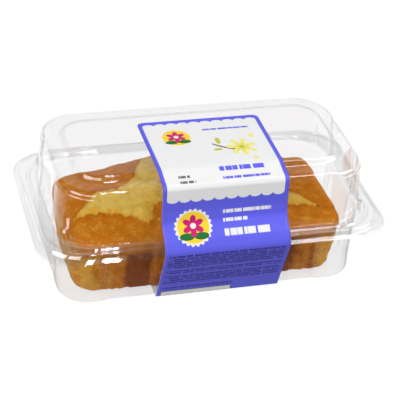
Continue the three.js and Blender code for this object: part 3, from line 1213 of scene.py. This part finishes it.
@dataclass
class PoundCake:
    """The loaf: flared sides, and a domed top whose crust has burst along its length."""

    floor_z: float = 2.0
    shoulder_z: float = 31.0
    base: Footprint = field(default_factory=lambda: Footprint(-0.2, 81.4, 37.2, 15))
    waist: Footprint = field(default_factory=lambda: Footprint(-0.3, 83.7, 41, 15))
    left_rounding: float = 22.0
    right_rounding: float = 8.0
    left_corner: float = 16.0
    right_corner: float = 12.0
    flare_power: float = 0.8
    ridge: tuple[Pair, ...] = (
        (-80, 13.5), (-66, 14.5), (-57, 16.5), (-47, 20), (-40, 23), (-29, 26.5), (0, 27), (30, 18.5),
        (50, 11.5),
    )
    front_lip: tuple[Pair, ...] = (
        (-80, -16), (-66, -18), (-54, -24), (-40, -33), (-20, -31), (20, -27), (54, -23), (69, -25),
    )
    rear_lip: tuple[Pair, ...] = (
        (-80, -16), (-70, -7), (-62, 2.5), (-50, -4), (-40, 2), (-30, 24), (0, 22), (30, 8), (56, -9),
        (69, -25),
    )
    islands: tuple[Place, ...] = ((-30.5, -28.0, 5.0), (-46.0, 6.0, 3.0))
    crumb_swell: float = 2.2
    crumb_slope: float = 7.0
    lip_height: float = 1.2
    lip_width: float = 5.0
    ragged: tuple[Grain, ...] = (Grain(1.1, (3.2, 3.2, 1), 11), Grain(0.6, (1.3, 1.3, 1), 12))
    crust_relief: tuple[Grain, ...] = (Grain(0.65, (6, 6, 6), 21), Grain(0.26, (1.8, 1.8, 1.8), 22))
    crumb_folds: tuple[Grain, ...] = (Grain(0.9, (8, 5, 5), 23), Grain(0.45, (2.4, 2.0, 2.0), 24))
    pleats: Grain = Grain(0.7, (3.5, 3.5, 70), 25)
    pleats_over: Pair = (54.0, 66.0)
    foot_crumbs: Grain = Grain(1.8, (2.2, 2.2, 30), 26)
    patches: Grain = Grain(0.5, (9, 9, 9), 31)
    streaks: Grain = Grain(0.45, (5, 5, 90), 32)
    crust_browning: float = 0.45
    lip_browning: float = 0.35
    lip_browned: float = 3.5
    lip_out: float = 1.2
    crumb_browning: float = 0.6
    middle_browning: float = 0.85
    middle_over: Pair = (45.0, 74.0)
    side_paling: float = 0.28
    sole_inset: float = 0.97
    sole_drop: float = 0.15
    straight_rows: int = 80
    corner_rows: int = 20
    columns: int = 260
    end_crowding: float = 0.25
    side_rows: int = 34

    def lips(self, x: np.ndarray, y: np.ndarray) -> tuple[np.ndarray, np.ndarray]:
        """How far inside the burst a place is, with ragged lips, and how wide the burst is there.

        Args:
            x: Place along the loaf.
            y: Place across it.

        Returns:
            Distance inside the nearer lip, less than 0 on the crust, and the width.
        """
        flat = np.stack((x, y, np.zeros_like(x)), axis=-1)
        front = along_pairs(self.front_lip, x, 3)
        rear = along_pairs(self.rear_lip, x, 3)
        inside = np.minimum(y - front, rear - y)
        for island_x, island_y, radius in self.islands:
            inside = np.minimum(inside, np.hypot(x - island_x, y - island_y) - radius)
        return inside + grained(flat, self.ragged), rear - front

    def top(self, x: np.ndarray, y: np.ndarray) -> np.ndarray:
        """Height of the top: a dome that rounds down to the shoulder, times the ridge and the burst.

        Args:
            x: Place along the loaf.
            y: Place across it.

        Returns:
            The height at each place.
        """
        waist = self.waist
        from_end = waist.half_length - np.abs(x - waist.middle)
        rounding = np.where(x < waist.middle, self.left_rounding, self.right_rounding)
        across = quarter_round(waist.half_depth - np.abs(y), waist.half_depth)
        dome = quarter_round(from_end / rounding, 1) * across
        corner = np.where(x < waist.middle, self.left_corner, self.right_corner)
        rise = np.minimum(dome, quarter_round(waist.depth(x, y) / corner, 1))
        inside, width = self.lips(x, y)
        swell = self.crumb_swell * quarter_round(inside, self.crumb_slope)
        lip = self.lip_height * (1 - smoothstep(0, self.lip_width, -inside))
        relief = np.where(inside > 0, swell, lip * smoothstep(0, self.lip_width, width))
        return self.shoulder_z + rise * (along_pairs(self.ridge, x, 5) + relief)

    def build(self, finish: BakedLoaf) -> None:
        """Makes the loaf as one closed skin and dresses it.

        The top is a grid over the waist. The sides are rings from its rim down, between the waist
        and the base by the share of the height to a power, and a sole closes them.

        Args:
            finish: Its crust and crumb.
        """
        turn = np.linspace(0, 1, self.corner_rows + 1)
        straight = np.linspace(-1, 1, self.straight_rows + 1)
        v = np.concatenate((-1 - turn[::-1][:-1], straight, 1 + turn[1:]))
        even = np.linspace(-1, 1, self.columns + 1)
        u = even * (1 + self.end_crowding * (1 - even ** 2))
        uu, vv = np.meshgrid(u, v)
        x, y = self.waist.place(uu, vv)
        number = np.arange(x.size).reshape(x.shape)
        rim = np.concatenate((number[0, :-1], number[:-1, -1], number[-1, :0:-1], number[:0:-1, 0]))
        edge = uu.ravel()[rim], vv.ravel()[rim]
        waist, base = (np.stack(outline.place(*edge), axis=-1) for outline in (self.waist, self.base))
        heights = np.linspace(self.shoulder_z, self.floor_z, self.side_rows + 1)[1:]
        shares = ((heights - self.floor_z) / (self.shoulder_z - self.floor_z)) ** self.flare_power
        rings = [base + (waist - base) * share for share in shares] + [base * self.sole_inset]
        levels = np.repeat((*heights, self.floor_z - self.sole_drop), len(rim))
        points = np.vstack((
            np.stack((x, y, self.top(x, y)), axis=-1).reshape(-1, 3),
            np.column_stack((np.vstack(rings), levels)),
            [[self.base.middle, 0, self.floor_z]],
        ))
        pole = len(points) - 1
        skirt = np.concatenate((rim, np.arange(x.size, pole)))
        sides = skirt[ring_faces(len(rings) + 1, len(rim))]
        tops = np.stack((number[:-1, :-1], number[:-1, 1:], number[1:, 1:], number[1:, :-1]), axis=-1)
        sole = cap_faces(pole - len(rim), len(rim), pole, False)
        inside, width = self.lips(points[:, 0], points[:, 1])
        on_top = smoothstep(self.shoulder_z - 1, self.shoulder_z + 3, points[:, 2])
        crumb = smoothstep(-0.2, 0.5, inside) * on_top * smoothstep(0, 2, width)
        attributes = {"crumb": crumb, "baked": self.baking(points, inside)}
        piece = make_piece("cake_loaf", points, np.vstack((tops.reshape(-1, 4), sides)), sole, attributes)
        self.roughen(piece, points, crumb)
        settle(piece, "cake", finish.material())

    def roughen(self, piece: bpy.types.Object, points: np.ndarray, crumb: np.ndarray) -> None:
        """Moves the skin along its normals: finely on crust, in folds on crumb, in pleats at the ends.

        Args:
            piece: The loaf.
            points: Its points in millimetres.
            crumb: How much of each is crumb.
        """
        z = points[:, 2]
        on_side = 1 - smoothstep(self.shoulder_z - 8, self.shoulder_z, z)
        at_end = smoothstep(*self.pleats_over, np.abs(points[:, 0]))
        crust, folds = (grained(points, grains) for grains in (self.crust_relief, self.crumb_folds))
        move = (1 - crumb) * crust + crumb * folds
        move = move + self.pleats.at(points) * on_side * at_end
        move = move * smoothstep(self.floor_z, self.floor_z + 1.5, z)
        moved = points + move[:, None] * point_normals(piece)
        near_foot = (1 - smoothstep(self.floor_z, self.floor_z + 5, z)) * (z >= self.floor_z)
        near_foot[-1] = 0
        moved[:, 2] += np.maximum(0, self.foot_crumbs.at(points)) * near_foot
        piece.data.vertices.foreach_set("co", (moved * MM).astype(np.float32).ravel())
        piece.data.update()

    def baking(self, points: np.ndarray, inside: np.ndarray) -> np.ndarray:
        """How darkly each place is baked: brown on the sides' middle and at the lips, pale at their ends.

        Args:
            points: Places on the loaf.
            inside: How far each is inside the burst.

        Returns:
            From 0 for pale gold to 1 for brown.
        """
        side = 1 - smoothstep(self.shoulder_z - 6, self.shoulder_z + 2, points[:, 2])
        middle = 1 - smoothstep(*self.middle_over, np.abs(points[:, 0]))
        sides = self.middle_browning * middle - self.side_paling + self.streaks.at(points)
        lip = self.lip_browning * (0.5 + self.patches.at(points))
        lip = lip * (1 - smoothstep(0, self.lip_browned, np.abs(inside + self.lip_out)))
        edge = smoothstep(0, 0.5, inside) * (1 - smoothstep(0, self.crumb_slope, inside))
        edge = self.crumb_browning * edge
        return self.crust_browning + side * sides + (lip + edge) * (1 - side)


# Floor, light and camera


@dataclass
class Lamp:
    """A soft rectangular lamp aimed at the middle of the pack."""

    name: str
    place: Place
    size: Pair
    radiance: float
    target: Place = (0, 0, 40)

    def build(self) -> None:
        """Makes the lamp. Its power is its radiance times pi times its area."""
        light = bpy.data.lights.new(self.name, "AREA")
        light.shape = "RECTANGLE"
        light.size = self.size[0] * MM
        light.size_y = self.size[1] * MM
        light.energy = self.radiance * math.pi * light.size * light.size_y
        lamp = bpy.data.objects.new(self.name, light)
        bpy.context.scene.collection.objects.link(lamp)
        lamp.location = Vector(self.place) * MM
        toward = Vector(self.target) * MM - lamp.location
        lamp.rotation_euler = toward.to_track_quat("-Z", "Y").to_euler()


def strip(name: str, x: float, y: float, size: Pair, radiance: float) -> Lamp:
    """A narrow lamp high over the pack, whose long side runs along Y."""
    return Lamp(name, (x, y, 1500), size, radiance, target=(x, 0, 40))


@dataclass
class Studio:
    """A white floor, soft lamps and the photograph's view."""

    azimuth: float = -18.2
    elevation: float = 33.6
    roll: float = 5.1
    focal_pixels: float = 1485.0
    picture: float = 400.0
    origin_in_view: Place = (-5.1, 29.1, 930.4)
    floor_size: float = 2400.0
    floor_z: float = -0.1
    floor_glow: float = 0.84
    floor_grey: float = 0.24
    floor_bounce: float = 0.75
    floor_mirrored: float = 1.2
    floor_dark_from: Pair = (-100.0, 60.0)
    world: float = 0.14
    lamps: tuple[Lamp, ...] = (
        Lamp("right_softbox", (1150, -350, 1000), (900, 900), 6.6),
        Lamp("left_softbox", (-1150, -450, 950), (900, 900), 6.0),
        Lamp("front_softbox", (-500, -1050, 1000), (700, 700), 5.0),
        Lamp("back_panel", (390, 1185, 830), (1400, 900), 0.45),
        strip("strip_one", 189, -100, (13, 560), 60),
        strip("strip_two", 224, -120, (10, 520), 50),
        strip("strip_three", 238, -120, (7, 520), 50),
        strip("right_strip", 585, -140, (210, 460), 9),
    )

    def build(self) -> None:
        """Makes the floor, the lamps, the world and the camera."""
        self.make_floor()
        for lamp in self.lamps:
            lamp.build()
        self.make_world()
        self.make_camera()

    def make_floor(self) -> None:
        """A flat floor that is white as a lit table where it is seen.

        A matt surface gets an even glow from it, and a mirror sees it grow dark in front, where the
        table ends in a dim room.
        """
        half = self.floor_size / 2
        corners = np.array([[-half, -half], [half, -half], [half, half], [-half, half]])
        corners = np.column_stack((corners, np.full(4, self.floor_z)))
        floor = make_piece("floor", corners, np.array([[0, 1, 2, 3]]), np.zeros((0, 3), int))
        bench = Bench("white_floor")
        path = bench.add("LightPath")
        mirrored, lit = (
            Field(bench, path.outputs[depth]).math("GREATER_THAN", 0.5)
            for depth in ("Glossy Depth", "Diffuse Depth")
        )
        indirect = mirrored.highest(lit)
        grain = bench.grain(bench.place(), 0.05)
        pale = bench.blend(grain, (self.floor_grey,) * 3, (1.03 * self.floor_grey,) * 3)
        matt = bench.add("BsdfDiffuse", bench.blend(indirect, pale, (0.0, 0.0, 0.0)))
        seen = indirect.ramp(0, 1, self.floor_glow, 0) + lit * self.floor_bounce
        depth = bench.object_axes()[1]
        mirror_glow = mirrored * depth.ramp(*self.floor_dark_from, 0, self.floor_mirrored)
        glow = bench.add("Emission", named={"Strength": seen + mirror_glow})
        both = bench.add("AddShader", matt.outputs[0], glow.outputs[0])
        floor.data.materials.append(bench.surface(both))

    def make_world(self) -> None:
        """An even pale surrounding."""
        world = bpy.data.worlds.new("studio")
        bpy.context.scene.world = world
        world.use_nodes = True
        back = world.node_tree.nodes["Background"]
        back.inputs["Color"].default_value = (1, 1, 1, 1)
        back.inputs["Strength"].default_value = self.world

    def make_camera(self) -> None:
        """The photograph's camera, from its angles, its focal length and where it sees the origin."""
        azimuth, elevation, roll = (math.radians(v) for v in (self.azimuth, self.elevation, self.roll))
        back = Vector((
            math.sin(azimuth) * math.cos(elevation),
            -math.cos(azimuth) * math.cos(elevation),
            math.sin(elevation),
        ))
        level = Vector((math.cos(azimuth), math.sin(azimuth), 0))
        rise = back.cross(level)
        right = level * math.cos(roll) + rise * math.sin(roll)
        up = rise * math.cos(roll) - level * math.sin(roll)
        across, down, ahead = self.origin_in_view
        place = (right * -across + up * down + back * ahead) * MM
        data = bpy.data.cameras.new("camera")
        data.sensor_width = 36.0
        data.lens = data.sensor_width * self.focal_pixels / self.picture
        data.clip_start, data.clip_end = 0.05, 20
        camera = bpy.data.objects.new("camera", data)
        bpy.context.scene.collection.objects.link(camera)
        turn = Matrix((right, up, back)).transposed().to_4x4()
        camera.matrix_world = Matrix.Translation(place) @ turn
        bpy.context.scene.camera = camera


def main() -> None:
    """Builds the studio and every sub-assembly in order."""
    logging.basicConfig(level=logging.INFO, format="%(name)s: %(message)s")
    scene = bpy.context.scene
    scene.view_settings.view_transform = "Standard"
    scene.cycles.max_bounces = 24
    scene.cycles.transmission_bounces = 24
    scene.cycles.glossy_bounces = 8
    scene.cycles.transparent_max_bounces = 32
    Studio().build()
    ClearPack().build(ClearSheet())
    PoundCake().build(BakedLoaf())
    PaperBand().build(PrintedPaper())


if __name__ == "__main__":
    main()
